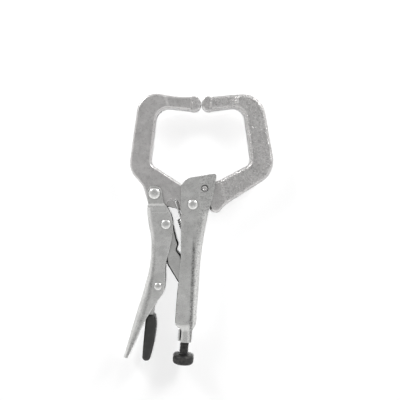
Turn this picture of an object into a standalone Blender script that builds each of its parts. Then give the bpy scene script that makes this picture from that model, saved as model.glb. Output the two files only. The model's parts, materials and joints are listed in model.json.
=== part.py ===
"""Locking pliers with C-clamp jaws, 150 mm long, shut and locked.

The tool lies flat: X and Y are the plane it works in, +Y points at the jaw tips, and Z runs along
the rivets. The origin is on the axis of the main pivot, in the plane that the rivets' back heads
rest on. Outlines are in millimetres; a depth is measured from the tool's middle plane.
"""

import math

import bmesh
import bpy
from mathutils import Matrix, Vector

MM = 0.001
MIDDLE = 7.4
GAP = 0.3

# Pivots and pins in the plane of the tool, each an x and a y.
MAIN_PIVOT = (0.0, 0.0)
JAW_LEVER_PIVOT = (-21.04, 6.06)
LINK_PIVOT = (-14.68, -10.84)
RELEASE_PIVOT = (-19.07, -44.81)
FIXED_JAW_PIN = (6.56, 8.84)
LINK_END = (-2.45, -49.76)

# Sheet-metal channels: half width outside, sheet thickness and outer bend radius.
BODY_HALF = 5.6
BODY_SHEET = 1.8
BODY_BEND = 3.0
BODY_TAPER = 0.5
LEVER_HALF = 6.0
LEVER_SHEET = 1.6
LEVER_BEND = 3.0
JOGGLE = 0.7
EAR_RADIUS = 4.2

# Solid pieces: half thicknesses.
JAW_HALF = 3.5
JAW_NOSE_HALF = 2.9
FIXED_ARM_HALF = 4.1
TIP_HALF = 4.5
TIP_RADIUS = 3.85
LINK_HALF = 2.5
RELEASE_HALF = 1.5
GRIP_HALF = 3.6
BOSS_RADIUS = 6.0

# Adjusting screw: its axis leans from the tool's Y axis.
SCREW_LEAN = math.radians(4.74)
SCREW_RADIUS = 2.45
SCREW_START = 2.7
SCREW_LENGTH = 30.6
NECK_RADIUS = 3.85
NECK_BORE = 2.85
NECK_SHOULDER = (-65.8, -70.3)
NECK_END = -76.1
KNOB_RADIUS = 5.75
KNOB_LENGTH = 5.4
KNOB_ROUND = 1.9
SOCKET_RADIUS = 2.3
SOCKET_DEPTH = 3.6

# Return spring: the two holes it hooks into, and its coil.
SPRING_HOLE = (-9.8, 2.0)
SPRING_TAB = (1.0, -30.0)
WIRE_RADIUS = 0.42
COIL_RADIUS = 2.05
COIL_FROM = 10.0
COIL_TO = 29.0
COIL_TURNS = 17
HOOK_DEPTH = 2.3
HOLE_RADIUS = 1.0
RECESS_HALF = 1.6

ROUND_STEPS = 22


def empty_scene():
    for thing in list(bpy.data.objects):
        bpy.data.objects.remove(thing)
    for group in list(bpy.data.collections):
        bpy.data.collections.remove(group)


def collection(name):
    made = bpy.data.collections.new(name)
    bpy.context.scene.collection.children.link(made)
    return made


empty_scene()
PARTS = collection("locking_pliers")
CUTTERS = collection("cutters")


def material(name, colour, metallic, roughness):
    made = bpy.data.materials.new(name)
    made.use_nodes = True
    shader = made.node_tree.nodes["Principled BSDF"]
    shader.inputs["Base Color"].default_value = (*colour, 1.0)
    shader.inputs["Metallic"].default_value = metallic
    shader.inputs["Roughness"].default_value = roughness
    made.diffuse_color = (*colour, 1.0)
    return made


# ---------------------------------------------------------------- outlines

def arc(centre, radius, start, stop, steps):
    """Points on a circle from one angle to another, in degrees."""
    turns = [math.radians(start + (stop - start) * i / steps) for i in range(steps + 1)]
    return [(centre[0] + radius * math.cos(t), centre[1] + radius * math.sin(t)) for t in turns]


def circle(centre, radius, steps=ROUND_STEPS):
    return arc(centre, radius, 0, 360, steps)[:-1]


def rounded(corners, degrees=12):
    """A closed outline from corners (x, y) or (x, y, radius), each radius drawn as an arc."""
    points = []
    for i, corner in enumerate(corners):
        here = Vector(corner[:2])
        radius = corner[2] if len(corner) > 2 else 0.0
        back = (Vector(corners[i - 1][:2]) - here).normalized()
        ahead = (Vector(corners[(i + 1) % len(corners)][:2]) - here).normalized()
        inside = back.angle(ahead)
        if radius == 0 or inside > math.pi - 0.01:
            points.append(tuple(here))
            continue
        reach = radius / math.tan(inside / 2)
        start = here + back * reach
        stop = here + ahead * reach
        centre = here + (back + ahead).normalized() * radius / math.sin(inside / 2)
        steps = max(2, round(math.degrees(math.pi - inside) / degrees))
        for k in range(steps + 1):
            t = k / steps
            sweep = (start - centre).angle_signed(stop - centre) * t
            turn = Matrix.Rotation(-sweep, 2)
            points.append(tuple(centre + turn @ (start - centre)))
    return points


def along(knots, y):
    """Smooth value at y through knots (y, value) that run down the tool, without overshoot."""
    slopes = [(b[1] - a[1]) / (b[0] - a[0]) for a, b in zip(knots, knots[1:])]
    inner = [(a + b) / 2 if a * b > 0 else 0.0 for a, b in zip(slopes, slopes[1:])]
    ends = [slopes[0], *inner, slopes[-1]]
    for i, (a, b) in enumerate(zip(knots, knots[1:])):
        if y >= b[0] or i == len(knots) - 2:
            width = b[0] - a[0]
            t = min(max((y - a[0]) / width, 0.0), 1.0)
            bend = t * (1 - t) * width * ((1 - t) * (ends[i] - slopes[i]) - t * (ends[i + 1] - slopes[i]))
            return a[1] + (b[1] - a[1]) * t + bend
    return knots[-1][1]


def smooth(value, start, stop):
    """0 before start, 1 after stop, with a soft rise between them."""
    t = min(max((value - start) / (stop - start), 0.0), 1.0)
    return t * t * (3 - 2 * t)


# ---------------------------------------------------------------- solids

def mesh_object(name, mesh, group=None):
    made = bpy.data.objects.new(name, mesh)
    (group or PARTS).objects.link(made)
    return made


def helper(thing):
    """Keeps a solid that only cuts or joins another one out of the model."""
    for group in list(thing.users_collection):
        group.objects.unlink(thing)
    CUTTERS.objects.link(thing)
    thing.hide_render = True
    thing.display_type = "WIRE"
    return thing


def from_curve(name, curve, height):
    """The closed mesh of a filled or bevelled curve."""
    guide = bpy.data.objects.new(name + "_guide", curve)
    CUTTERS.objects.link(guide)
    guide.location.z = height * MM
    bpy.context.view_layer.update()
    ready = guide.evaluated_get(bpy.context.evaluated_depsgraph_get())
    mesh = bpy.data.meshes.new_from_object(ready)
    mesh.transform(guide.matrix_world)
    mesh.name = name
    bpy.data.objects.remove(guide)
    bpy.data.curves.remove(curve)
    shape = bmesh.new()
    shape.from_mesh(mesh)
    bmesh.ops.remove_doubles(shape, verts=shape.verts, dist=1e-6)
    bmesh.ops.recalc_face_normals(shape, faces=shape.faces)
    shape.to_mesh(mesh)
    shape.free()
    return mesh_object(name, mesh)


def plate(name, outline, low, high, holes=()):
    """A flat piece between two depths, with its round holes."""
    curve = bpy.data.curves.new(name, "CURVE")
    curve.dimensions = "2D"
    curve.fill_mode = "BOTH"
    curve.extrude = (high - low) / 2 * MM
    for loop in (outline, *holes):
        spline = curve.splines.new("POLY")
        spline.points.add(len(loop) - 1)
        spline.use_cyclic_u = True
        for point, (x, y) in zip(spline.points, loop):
            point.co = (x * MM, y * MM, 0.0, 1.0)
    made = from_curve(name, curve, MIDDLE + (low + high) / 2)
    shape = bmesh.new()
    shape.from_mesh(made.data)
    flat = [e for e in shape.edges if len(e.link_faces) == 2 and e.calc_face_angle() < 0.001]
    bmesh.ops.dissolve_edges(shape, edges=flat, use_verts=False)
    shape.to_mesh(made.data)
    shape.free()
    return made


def set_depth(thing, point, across, width, change):
    """Re-forges one side of a line: change(depth) gives the new depth, over a slope of this width."""
    way = Vector((*across, 0.0)).normalized()
    start = Vector((point[0] * MM, point[1] * MM, MIDDLE * MM))
    shape = bmesh.new()
    shape.from_mesh(thing.data)
    for distance in (0.0, width * MM):
        whole = [*shape.verts, *shape.edges, *shape.faces]
        bmesh.ops.bisect_plane(shape, geom=whole, plane_co=start + way * distance, plane_no=way, dist=1e-7)
    for vertex in shape.verts:
        beyond = (vertex.co - start).dot(way) / (width * MM)
        share = min(max(beyond, 0.0), 1.0)
        depth = vertex.co.z / MM - MIDDLE
        vertex.co.z = (MIDDLE + depth + (change(depth) - depth) * share) * MM
    shape.to_mesh(thing.data)
    shape.free()


def folded(name, stations):
    """A folded sheet through stations, each one an outer and an inner path of equal length."""
    shape = bmesh.new()
    rows = []
    for paths in stations:
        pair = []
        for path in paths:
            pair.append([shape.verts.new((x * MM, y * MM, (MIDDLE + d) * MM)) for x, y, d in path])
        rows.append(pair)
    count = len(rows[0][0])
    for (outer, inner), (outer_next, inner_next) in zip(rows, rows[1:]):
        for i in range(count - 1):
            shape.faces.new((outer[i], outer[i + 1], outer_next[i + 1], outer_next[i]))
            shape.faces.new((inner[i], inner[i + 1], inner_next[i + 1], inner_next[i]))
        for i in (0, count - 1):
            shape.faces.new((outer[i], outer_next[i], inner_next[i], inner[i]))
    for outer, inner in (rows[0], rows[-1]):
        for i in range(count - 1):
            shape.faces.new((outer[i], outer[i + 1], inner[i + 1], inner[i]))
    bmesh.ops.recalc_face_normals(shape, faces=shape.faces)
    mesh = bpy.data.meshes.new(name)
    shape.to_mesh(mesh)
    shape.free()
    return mesh_object(name, mesh)


def turned(name, profile, steps=ROUND_STEPS):
    """A turned piece from radii and heights, given from its top to its bottom."""
    mesh = bpy.data.meshes.new(name)
    points = [(radius * MM, 0.0, height * MM) for radius, height in profile]
    mesh.from_pydata(points, [(i, i + 1) for i in range(len(points) - 1)], [])
    made = mesh_object(name, mesh)
    screw = made.modifiers.new("turn", "SCREW")
    screw.axis = "Z"
    screw.steps = steps
    screw.render_steps = steps
    screw.use_merge_vertices = True
    screw.merge_threshold = 0.000001
    return made


def boolean(thing, other, operation):
    change = thing.modifiers.new(operation.lower(), "BOOLEAN")
    change.operation = operation
    change.solver = "EXACT"
    change.object = helper(other)


def round_edges(thing, width, segments, limit=30):
    bevel = thing.modifiers.new("rounding", "BEVEL")
    bevel.width = width * MM
    bevel.segments = segments
    bevel.limit_method = "ANGLE"
    bevel.angle_limit = math.radians(limit)


def finish(thing, look, joint=None, angle=35):
    """Gives a piece its material and smooth shading, and hangs it on its joint."""
    thing.data.materials.clear()
    thing.data.materials.append(look)
    thing.data.shade_smooth()
    thing.data.set_sharp_from_angle(angle=math.radians(angle))
    if joint:
        bpy.context.view_layer.update()
        thing.parent = joint
        thing.matrix_parent_inverse = joint.matrix_world.inverted()


# ---------------------------------------------------------------- screw axis

def screw_frame(distance):
    """Placement whose +Z runs down the screw, at a distance beyond the end of the link."""
    down = Vector((-math.sin(SCREW_LEAN), -math.cos(SCREW_LEAN), 0.0))
    across = Vector((0.0, 0.0, 1.0))
    side = across.cross(down)
    turn = Matrix((side, across, down)).transposed().to_4x4()
    place = Vector((LINK_END[0], LINK_END[1], MIDDLE)) + down * distance
    turn.translation = place * MM
    return turn


def screw_x(y):
    return LINK_END[0] + (y - LINK_END[1]) * math.tan(SCREW_LEAN)


# ---------------------------------------------------------------- joints

def joint(name, place, parent=None):
    made = bpy.data.objects.new(name, None)
    made.empty_display_size = 0.01
    PARTS.objects.link(made)
    made.matrix_world = place
    if parent:
        bpy.context.view_layer.update()
        made.parent = parent
        made.matrix_parent_inverse = parent.matrix_world.inverted()
    return made


def upright(point):
    return Matrix.Translation(Vector((point[0], point[1], MIDDLE)) * MM)


# ---------------------------------------------------------------- body handle

# Edges of the body's channel down the tool: (y, x).
BODY_SPINE = [(-3.8, 8.6), (-15.7, 6.3), (-31.3, 4.15), (-48.0, 2.95), (-66.5, 1.6)]
BODY_NEAR = [(-3.8, -6.5), (-26.0, -6.5), (-41.2, -7.6), (-54.3, -8.6), (-66.5, -9.5)]
BODY_FAR = [(-3.8, -6.5), (-26.0, -6.5), (-41.2, -7.9), (-54.3, -9.3), (-66.5, -10.1)]


def channel_paths(near, far, spine, half, bend, sheet, straight=3, bends=4):
    """Outer and inner paths (x, depth) of a channel, from its near edge round the spine to the far edge."""
    side = 1.0 if spine > near else -1.0
    paths = []
    for inset in (0.0, sheet):
        radius = max(bend - inset, 0.35)
        depth = half - inset
        corner = spine - side * (inset + radius)
        path = []
        for k in range(straight):
            path.append((near + (corner - near) * k / straight, depth))
        for first, level in ((90, depth - radius), (0, radius - depth)):
            for k in range(bends + 1):
                turn = math.radians(first - 90 * k / bends)
                path.append((corner + side * radius * math.cos(turn), level + radius * math.sin(turn)))
        for k in range(straight):
            path.append((corner + (far - corner) * (k + 1) / straight, -depth))
        paths.append(path)
    return paths


def ring_paths(model, centre, outside, inside, near_angle, far_angle):
    """Paths round an open ring with the points of a model path, spread by its length."""
    lengths = [0.0]
    for a, b in zip(model, model[1:]):
        lengths.append(lengths[-1] + math.dist(a, b))
    middle = lengths[-1] / 2
    paths = []
    for radius in (outside, inside):
        path = []
        for length in lengths:
            share = 1 - length / middle
            turn = math.radians(near_angle * share if share > 0 else far_angle * share)
            path.append((centre + radius * math.cos(turn), radius * math.sin(turn)))
        paths.append(path)
    return paths


def body_station(y):
    """The body's section: an open channel, drawn in below the shoulder to a split tube."""
    formed = smooth(-y, -NECK_SHOULDER[0], -NECK_SHOULDER[1])
    near = along(BODY_NEAR, y)
    far = along(BODY_FAR, y)
    spine = along(BODY_SPINE, y)
    half = BODY_HALF - BODY_TAPER * smooth(-y, 43, 56)
    open_paths = channel_paths(near, far, spine, half, BODY_BEND, BODY_SHEET)
    centre = screw_x(y)
    tube_paths = ring_paths(open_paths[0], centre, NECK_RADIUS, NECK_BORE, 122, 172)
    paths = []
    for channel, tube in zip(open_paths, tube_paths):
        path = []
        for (x0, d0), (x1, d1) in zip(channel, tube):
            x = x0 + (x1 - x0) * formed
            d = d0 + (d1 - d0) * formed
            path.append((x, y - (x - centre) * math.tan(SCREW_LEAN) * formed, d))
        paths.append(path)
    return paths


def body_handle(look):
    top = BODY_SPINE[0][0]
    heights = [top + (NECK_SHOULDER[0] - top) * i / 9 for i in range(10)]
    heights += [NECK_SHOULDER[0] + (NECK_SHOULDER[1] - NECK_SHOULDER[0]) * i / 5 for i in range(1, 6)]
    heights += [NECK_SHOULDER[1] + (NECK_END - NECK_SHOULDER[1]) * i / 2 for i in range(1, 3)]
    body = folded("body_handle", [body_station(y) for y in heights])
    cheek = rounded([
        (-6.5, -8.0), (-6.5, 13.97, 7.0), (13.3, 17.2, 1.4), (11.2, 4.7, 30.0), (8.6, -3.8),
        (5.4, -3.8), (4.6, -8.0),
    ])
    holes = [circle(MAIN_PIVOT, 1.9 + GAP), circle(FIXED_JAW_PIN, 1.4 + GAP)]
    inside = BODY_HALF - BODY_SHEET
    for side, low, high in (("near", inside, BODY_HALF), ("far", -BODY_HALF, -inside)):
        boolean(body, plate("body_cheek_" + side, cheek, low, high, holes), "UNION")
    tab = rounded([(4.0, -28.2), (0.2, -28.4, 1.2), (-0.7, -30.0, 1.0), (0.2, -31.6, 1.2), (3.4, -31.8)])
    boolean(body, plate("body_spring_tab", tab, -0.6, 0.6, [circle(SPRING_TAB, HOLE_RADIUS, 14)]), "UNION")
    finish(body, look)


# ---------------------------------------------------------------- jaws

def half_round(edge, centre, height, facing):
    """Outline of a jaw tip: a straight back at edge and a round nose that faces the other tip."""
    start = 90 if facing < 0 else -90
    nose = arc((centre, height), TIP_RADIUS, start, start + 180, 14)
    back = [(edge, height - TIP_RADIUS), (edge, height + TIP_RADIUS)]
    return nose + (back if facing < 0 else back[::-1])


def moving_jaw(look, joint_at):
    boss = arc(MAIN_PIVOT, BOSS_RADIUS, -118, 50, 16)
    outer = [
        (0.6, 59.55), (-9.5, 59.7, 40.0), (-19.0, 61.3, 8.0), (-29.6, 61.7, 11.0), (-35.4, 19.4, 12.0),
        (-27.5, 10.3, 8.0), (-24.3, -0.9, 4.5), (-14.6, -0.9, 0.6), (-8.9, -2.3, 2.0),
    ]
    inner = [(-23.5, 22.2, 4.5), (-19.9, 54.4, 7.5), (-12.0, 53.4, 12.0), (0.6, 52.05)]
    outline = rounded([*outer, *boss, *inner])
    jaw = plate("moving_jaw", outline, -JAW_HALF, JAW_HALF, [
        circle(MAIN_PIVOT, 1.9 + GAP),
        circle(JAW_LEVER_PIVOT, 1.9 + GAP),
        circle(SPRING_HOLE, HOLE_RADIUS, 14),
    ])
    set_depth(jaw, (-15.9, 58.5), (1.0, 0.42), 1.6, lambda depth: math.copysign(JAW_NOSE_HALF, depth))
    round_edges(jaw, 0.6, 1)
    recess = [*arc((-10.95, -0.3), 3.5, 0, 180, 14), (-14.45, -6.0), (-6.4, -6.0)]
    for side, low, high in (("near", RECESS_HALF, 5.0), ("far", -5.0, -RECESS_HALF)):
        boolean(jaw, plate("jaw_recess_" + side, recess, low, high), "DIFFERENCE")
    boolean(jaw, plate("moving_tip", half_round(-0.8, 0.78, 55.8, 1), -TIP_HALF, TIP_HALF), "UNION")
    finish(jaw, look, joint_at)


def fixed_jaw(look):
    seat = arc(MAIN_PIVOT, BOSS_RADIUS + 0.45, -8, 50, 7)
    lower = [(9.4, -1.3, 1.2), (10.1, -4.0, 2.4), (13.9, -4.8, 2.8), (18.2, 0.1, 4.0)]
    outer = [(45.8, 17.5, 13.5), (38.2, 61.0, 12.4), (24.0, 60.9, 40.0), (9.0, 59.55)]
    inner = [
        (9.0, 52.05), (18.5, 53.3, 12.0), (28.1, 54.4, 6.8), (32.4, 22.6, 4.5), (13.5, 12.8, 10.0),
        (0.4, 12.6, 2.0),
    ]
    outline = rounded([(0.4, 8.05, 0.6), *seat[::-1], *lower, *outer, *inner])
    jaw = plate("fixed_jaw", outline, -FIXED_ARM_HALF, FIXED_ARM_HALF, [circle(FIXED_JAW_PIN, 1.4 + GAP)])
    set_depth(jaw, (18.2, 4.7), (-1.0, -0.25), 1.6, lambda depth: math.copysign(JAW_HALF, depth))
    set_depth(jaw, (23.4, 55.3), (-1.0, 0.55), 1.7, nose_depth)
    round_edges(jaw, 0.7, 1)
    boolean(jaw, plate("fixed_tip", half_round(10.0, 8.88, 55.8, -1), -TIP_HALF, TIP_HALF), "UNION")
    finish(jaw, look)


def nose_depth(depth):
    """The arm's nose is thinner; the root, already thinner than the arm, stays as it is."""
    return math.copysign(min(abs(depth), JAW_NOSE_HALF + 0.3), depth)


# ---------------------------------------------------------------- lever handle

# Edges of the lever's channel down the tool: (y, x).
LEVER_SPINE = [
    (-1.5, -25.4), (-9.0, -24.7), (-21.0, -22.9), (-32.7, -23.6), (-45.4, -26.6), (-61.4, -31.5),
    (-84.2, -38.1),
]
LEVER_EDGE = [
    (-1.5, -14.1), (-5.7, -11.9), (-13.0, -10.9), (-22.0, -12.2), (-33.0, -14.9), (-44.0, -15.4),
    (-48.3, -16.2), (-55.3, -21.0), (-66.0, -27.4), (-80.0, -33.8), (-84.2, -35.8),
]


def lever_station(y):
    taper = smooth(-y, 55, 84.2)
    half = LEVER_HALF - 0.9 * taper
    bend = LEVER_BEND - 1.2 * taper
    edge = along(LEVER_EDGE, y)
    paths = channel_paths(edge, edge, along(LEVER_SPINE, y), half, bend, LEVER_SHEET)
    return [[(x, y, depth) for x, depth in path] for path in paths]


def lever_handle(look, joint_at):
    heights = [-1.5 - 82.7 * i / 17 for i in range(18)]
    lever = folded("lever_handle", [lever_station(y) for y in heights])
    ear = rounded([
        *arc(JAW_LEVER_PIVOT, EAR_RADIUS, -8, 188, 16), (-24.5, 0.4, 1.0), (-25.0, -1.0), (-24.0, -1.8),
        (-22.2, -1.8), (-22.2, -4.5), (-13.8, -4.5), (-14.6, -0.7, 0.8), (-16.2, 1.0, 2.0),
    ])
    inner = LEVER_HALF - LEVER_SHEET - JOGGLE
    for side, sign in (("near", 1), ("far", -1)):
        low, high = sorted((sign * inner, sign * (inner + LEVER_SHEET)))
        wall = plate("lever_ear_" + side, ear, low, high, [circle(JAW_LEVER_PIVOT, 1.9 + GAP)])
        set_depth(wall, (0.0, 0.9), (0.0, -1.0), 1.9, lambda depth: depth + math.copysign(JOGGLE, depth))
        boolean(lever, wall, "UNION")
    for name, pivot in (("link", LINK_PIVOT), ("release", RELEASE_PIVOT)):
        boolean(lever, plate("lever_hole_" + name, circle(pivot, 1.3 + GAP), -7, 7), "DIFFERENCE")
    finish(lever, look, joint_at)


# ---------------------------------------------------------------- rivets and pin

def rivet(name, pivot, shank, head, seat, dome, look, joint_at=None):
    """A rivet with a domed head in front and a flat head behind, which ends in the resting plane."""
    profile = [(0.0, seat + dome)]
    for turn in (25, 50, 72, 90):
        angle = math.radians(turn)
        profile.append((head * math.sin(angle), seat + 0.25 * dome + 0.75 * dome * math.cos(angle)))
    profile += [(head, seat), (shank, seat), (shank, -seat)]
    profile += [(head, -seat), (head, 0.5 - MIDDLE), (head - 0.5, -MIDDLE), (0.0, -MIDDLE)]
    made = turned(name, profile)
    made.matrix_world = upright(pivot)
    finish(made, look, joint_at)


def fixed_jaw_pin(look):
    """A pin pressed through the cheeks, its end dished by the press."""
    end = BODY_HALF + 0.05
    profile = [(0.0, end - 0.35), (0.9, end - 0.35), (1.05, end), (1.4, end), (1.4, -end), (0.0, -end)]
    made = turned("fixed_jaw_pin", profile)
    made.matrix_world = upright(FIXED_JAW_PIN)
    finish(made, look)


# ---------------------------------------------------------------- link and release lever

def toggle_link(look, joint_at):
    eye = arc(LINK_PIVOT, 3.7, 20, 190, 12)
    outline = rounded([
        *eye, (-18.2, -20.0, 8.0), (-15.2, -29.0, 6.0), (-14.2, -33.1, 2.0), (-5.6, -47.2, 3.0),
        (-3.9, -49.9, 1.6), (-1.0, -49.3, 1.6), (-1.4, -43.0, 6.0), (-6.4, -28.4, 4.0),
        (-9.0, -25.2, 1.6), (-7.9, -21.8, 0.7), (-8.9, -19.3, 2.0), (-10.1, -14.2, 6.0),
    ])
    link = plate("toggle_link", outline, -LINK_HALF, LINK_HALF, [circle(LINK_PIVOT, 1.3 + GAP)])
    round_edges(link, 0.6, 1)
    finish(link, look, joint_at)


def release_lever(look, joint_at):
    outline = rounded([
        *arc(RELEASE_PIVOT, 3.3, 160, 240, 5), (-24.6, -57.0, 8.0), (-25.4, -66.0, 20.0),
        (-27.0, -82.6, 1.2), (-24.4, -82.6, 1.2), (-22.5, -68.0, 20.0), (-21.6, -57.5, 6.0),
        (-16.6, -47.9, 3.0), (-15.6, -44.0, 3.0), (-15.9, -34.2, 1.5), (-19.0, -34.2, 1.5),
    ])
    lever = plate("release_lever", outline, -RELEASE_HALF, RELEASE_HALF, [circle(RELEASE_PIVOT, 1.3 + GAP)])
    round_edges(lever, 0.3, 1)
    finish(lever, look, joint_at)


def release_grip(look, joint_at):
    outline = rounded([
        (-20.9, -61.0, 1.0), (-20.1, -67.0, 20.0), (-21.3, -76.0, 30.0), (-24.0, -86.4, 2.1),
        (-28.2, -86.4, 2.1), (-27.3, -75.0, 40.0), (-25.9, -61.0, 1.2),
    ])
    grip = plate("release_grip", outline, -GRIP_HALF, GRIP_HALF)
    round_edges(grip, 1.7, 3)
    pocket = rounded([
        (-25.7, -58.0), (-25.7, -66.0, 20.0), (-27.35, -83.1, 1.4), (-24.1, -83.1, 1.4),
        (-22.2, -68.0, 20.0), (-21.3, -58.0),
    ])
    boolean(grip, plate("grip_pocket", pocket, -RELEASE_HALF - GAP, RELEASE_HALF + GAP), "DIFFERENCE")
    finish(grip, look, joint_at, 50)


# ---------------------------------------------------------------- adjusting screw

def adjusting_screw(look, joint_at):
    end = SCREW_START + SCREW_LENGTH
    profile = [(0.0, end), (1.6, end), (SCREW_RADIUS, end - 0.8), (SCREW_RADIUS, SCREW_START + 0.9)]
    profile += [(1.5, SCREW_START), (0.0, SCREW_START)]
    made = turned("adjusting_screw", profile)
    made.matrix_world = screw_frame(0.0)
    finish(made, look, joint_at)


def adjusting_knob(look, joint_at):
    start = SCREW_START + SCREW_LENGTH + GAP
    stop = start + KNOB_LENGTH
    profile = [(0.0, stop)]
    for centre, first in ((stop - KNOB_ROUND, 0), (start + KNOB_ROUND, 90)):
        for turn in range(first, first + 91, 30):
            angle = math.radians(turn)
            rim = KNOB_RADIUS - KNOB_ROUND
            profile.append((rim + KNOB_ROUND * math.sin(angle), centre + KNOB_ROUND * math.cos(angle)))
    profile.append((0.0, start))
    made = turned("adjusting_knob", profile, 30)
    made.matrix_world = screw_frame(0.0)
    bpy.ops.mesh.primitive_cylinder_add(vertices=6, radius=SOCKET_RADIUS * MM, depth=2 * SOCKET_DEPTH * MM)
    socket = bpy.context.object
    socket.name = "knob_socket"
    socket.matrix_world = screw_frame(stop)
    boolean(made, socket, "DIFFERENCE")
    finish(made, look, joint_at)


# ---------------------------------------------------------------- return spring

def spring_point(distance, across=0.0, depth=0.0):
    """A point beside the line between the two spring holes."""
    top = Vector(SPRING_HOLE)
    way = (Vector(SPRING_TAB) - top).normalized()
    side = Vector((-way.y, way.x))
    spot = top + way * distance + side * across
    return (spot.x, spot.y, depth)


def jaw_spring(look):
    """A coil with a long straight hook at each end, which drops through its hole."""
    span = math.dist(SPRING_HOLE, SPRING_TAB)
    low = HOOK_DEPTH - 0.3
    route = [spring_point(0, depth=-HOOK_DEPTH + 0.3), spring_point(0, depth=low)]
    route += [spring_point(0.25, depth=HOOK_DEPTH - 0.05), spring_point(0.6, depth=HOOK_DEPTH)]
    route += [spring_point(COIL_FROM - 1.5, depth=HOOK_DEPTH)]
    steps = 9
    for i in range(COIL_TURNS * steps + 1):
        turn = 2 * math.pi * i / steps
        distance = COIL_FROM + (COIL_TO - COIL_FROM) * i / (COIL_TURNS * steps)
        route.append(spring_point(distance, COIL_RADIUS * math.sin(turn), COIL_RADIUS * math.cos(turn)))
    hook = [(COIL_TO + 1.4, 1.5), (span - 0.6, 1.3), (span - 0.25, 1.25), (span, 1.0), (span, -1.4)]
    route += [spring_point(distance, depth=depth) for distance, depth in hook]
    curve = bpy.data.curves.new("jaw_spring", "CURVE")
    curve.dimensions = "3D"
    curve.bevel_depth = WIRE_RADIUS * MM
    curve.bevel_resolution = 2
    curve.use_fill_caps = True
    spline = curve.splines.new("POLY")
    spline.points.add(len(route) - 1)
    for point, (x, y, z) in zip(spline.points, route):
        point.co = (x * MM, y * MM, z * MM, 1.0)
    finish(from_curve("jaw_spring", curve, MIDDLE), look)


# ---------------------------------------------------------------- assembly

def build():
    plated = material("satin_plated_sheet", (0.46, 0.46, 0.45), 1.0, 0.38)
    forged = material("satin_plated_forging", (0.42, 0.41, 0.41), 1.0, 0.42)
    rivets = material("bright_rivet", (0.62, 0.62, 0.61), 1.0, 0.22)
    vinyl = material("black_vinyl", (0.022, 0.022, 0.021), 0.0, 0.45)
    oxide = material("black_oxide", (0.03, 0.03, 0.031), 0.6, 0.5)
    wire = material("spring_wire", (0.30, 0.30, 0.30), 1.0, 0.3)

    jaw = joint("jaw_pivot", upright(MAIN_PIVOT))
    lever = joint("lever_pivot", upright(JAW_LEVER_PIVOT), jaw)
    link = joint("link_pivot", upright(LINK_PIVOT), lever)
    release = joint("release_pivot", upright(RELEASE_PIVOT), lever)
    screw = joint("screw_travel", screw_frame(SCREW_START))
    knob = joint("knob_spin", screw_frame(SCREW_START + SCREW_LENGTH), screw)

    body_handle(plated)
    fixed_jaw(forged)
    fixed_jaw_pin(rivets)
    rivet("main_pivot_rivet", MAIN_PIVOT, 1.9, 2.85, BODY_HALF + 0.1, 1.9, rivets)
    jaw_spring(wire)
    moving_jaw(forged, jaw)
    ear_seat = LEVER_HALF - JOGGLE + 0.1
    rivet("jaw_lever_rivet", JAW_LEVER_PIVOT, 1.9, 3.25, ear_seat, 2.1, rivets, jaw)
    lever_handle(plated, lever)
    rivet("link_rivet", LINK_PIVOT, 1.3, 2.7, LEVER_HALF + 0.1, 1.5, rivets, lever)
    rivet("release_rivet", RELEASE_PIVOT, 1.3, 2.15, LEVER_HALF + 0.1, 1.2, rivets, lever)
    toggle_link(plated, link)
    release_lever(plated, release)
    release_grip(vinyl, release)
    adjusting_screw(oxide, screw)
    adjusting_knob(oxide, knob)


build()
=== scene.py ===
"""Looks of the C-clamp locking pliers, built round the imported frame.

Outlines are in millimetres in the plane of the tool and depths are measured from its middle plane,
as in the part's design. Pivots, axes and the middle plane are read from the frame.
"""

import json
import math

import bmesh
import bpy
from mathutils import Matrix, Vector, noise


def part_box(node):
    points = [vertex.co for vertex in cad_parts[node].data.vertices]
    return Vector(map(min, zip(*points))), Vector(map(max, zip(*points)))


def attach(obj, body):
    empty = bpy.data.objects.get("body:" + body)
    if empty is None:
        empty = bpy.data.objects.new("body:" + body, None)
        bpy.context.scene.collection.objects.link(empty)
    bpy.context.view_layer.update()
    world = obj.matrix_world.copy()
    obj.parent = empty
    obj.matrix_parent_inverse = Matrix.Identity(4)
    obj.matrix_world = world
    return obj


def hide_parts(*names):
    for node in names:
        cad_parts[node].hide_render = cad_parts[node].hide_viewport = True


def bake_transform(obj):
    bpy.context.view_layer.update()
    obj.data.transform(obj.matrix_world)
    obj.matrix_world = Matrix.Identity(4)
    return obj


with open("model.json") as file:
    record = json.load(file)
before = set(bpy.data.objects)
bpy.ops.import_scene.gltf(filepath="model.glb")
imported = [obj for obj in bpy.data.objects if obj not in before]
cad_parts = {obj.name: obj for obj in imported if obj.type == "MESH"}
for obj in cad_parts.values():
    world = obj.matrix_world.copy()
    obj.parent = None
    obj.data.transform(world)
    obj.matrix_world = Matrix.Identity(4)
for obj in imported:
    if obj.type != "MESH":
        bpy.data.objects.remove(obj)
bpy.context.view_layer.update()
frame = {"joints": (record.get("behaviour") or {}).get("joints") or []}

MM = 0.001
GAP = 0.3
ARC_DEGREES = 4
ROUND_STEPS = 72

# ---------------------------------------------------------------- places from the frame

JOINTS = {joint["name"]: joint for joint in frame["joints"]}


def pivot(name):
    x, y, _ = JOINTS[name]["pos_m"]
    return (x / MM, y / MM)


def half_depth(node):
    low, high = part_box(node)
    return (high.z - low.z) / 2 / MM


def middle_of(node):
    low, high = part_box(node)
    return ((low.x + high.x) / 2 / MM, (low.y + high.y) / 2 / MM)


MIDDLE = JOINTS["jaw_pivot"]["pos_m"][2] / MM
MAIN_PIVOT = pivot("jaw_pivot")
JAW_LEVER_PIVOT = pivot("lever_pivot")
LINK_PIVOT = pivot("link_pivot")
RELEASE_PIVOT = pivot("release_pivot")
FIXED_JAW_PIN = middle_of("fixed_jaw_pin")
SCREW_DOWN = Vector(JOINTS["screw_travel"]["axis"])
SCREW_SLOPE = SCREW_DOWN.x / SCREW_DOWN.y
KNOB_TOP = Vector(pivot("knob_spin"))

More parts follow.
